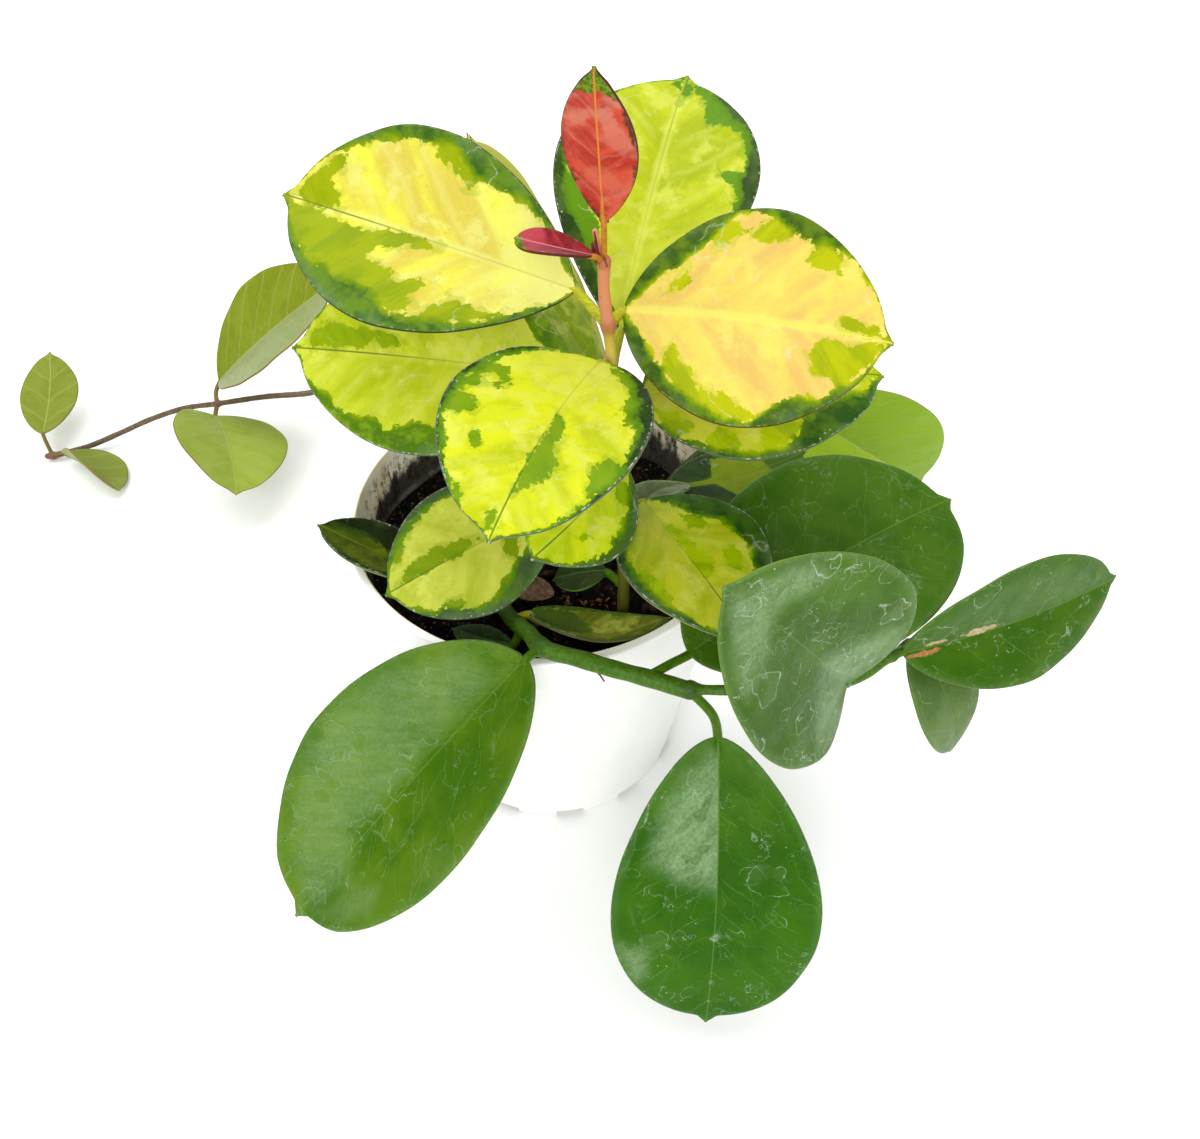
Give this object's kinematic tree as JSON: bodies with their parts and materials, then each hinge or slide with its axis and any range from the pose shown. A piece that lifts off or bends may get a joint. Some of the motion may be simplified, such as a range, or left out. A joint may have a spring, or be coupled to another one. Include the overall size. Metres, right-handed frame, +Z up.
{
  "type": "potted hoya plant",
  "caption": "Potted hoya: upright shoot of round variegated leaves, a stem of large green leaves over the rim and a thin trailing vine, in a round plastic nursery pot.",
  "frame": {"origin": "middle of the pot's flat underside, on the surface that the pot stands on", "axes": "+Z up; -Y is the front, where the large green leaves hang over the rim; +X to the right, seen from the front; the vine trails to the back left"},
  "size_m": [0.411, 0.3098, 0.2642],
  "materials": {
    "pot_plastic": "smooth white moulded plastic with a satin sheen",
    "potting_mix": "dark moist potting mix with bits of bark",
    "green_stem": "smooth fleshy green stem",
    "vine_stem": "thin brown-olive young wood",
    "variegated_leaf": "glossy fleshy leaf, yellow and lime with a dark green margin",
    "dark_leaf": "glossy fleshy deep green leaf with pale mineral rings",
    "vine_leaf": "satin olive green leaf",
    "red_leaf": "young pink-red leaf with an orange midrib"
  },
  "bodies": {
    "root": {"pot": "pot_plastic", "soil": "potting_mix", "stem_upright": "green_stem", "stem_trailing": "green_stem", "stem_left_shoot": "green_stem", "stem_back_shoot": "green_stem", "stem_vine": "vine_stem", "leaf_red": "red_leaf", "leaf_red_folded": "red_leaf", "leaf_top_left": "variegated_leaf", "leaf_top_right": "variegated_leaf", "leaf_back_right": "variegated_leaf", "leaf_front": "variegated_leaf", "leaf_middle_left": "variegated_leaf", "leaf_middle_right": "variegated_leaf", "leaf_back_left": "variegated_leaf", "leaf_low_front": "variegated_leaf", "leaf_low_right": "variegated_leaf", "leaf_inner_right": "variegated_leaf", "leaf_inner_dark": "dark_leaf", "leaf_low_left": "variegated_leaf", "leaf_over_rim_left": "variegated_leaf", "leaf_boat": "variegated_leaf", "leaf_small_front": "dark_leaf", "leaf_dark_left": "dark_leaf", "leaf_dark_front": "dark_leaf", "leaf_dark_right": "dark_leaf", "leaf_dark_upright": "dark_leaf", "leaf_dark_far": "dark_leaf", "leaf_dark_hanging": "dark_leaf", "leaf_back_olive": "variegated_leaf", "leaf_back_green": "vine_leaf", "vine_leaf_upper": "vine_leaf", "vine_leaf_near": "vine_leaf", "vine_leaf_end": "vine_leaf", "vine_leaf_low": "vine_leaf"}
  },
  "joints": []
}
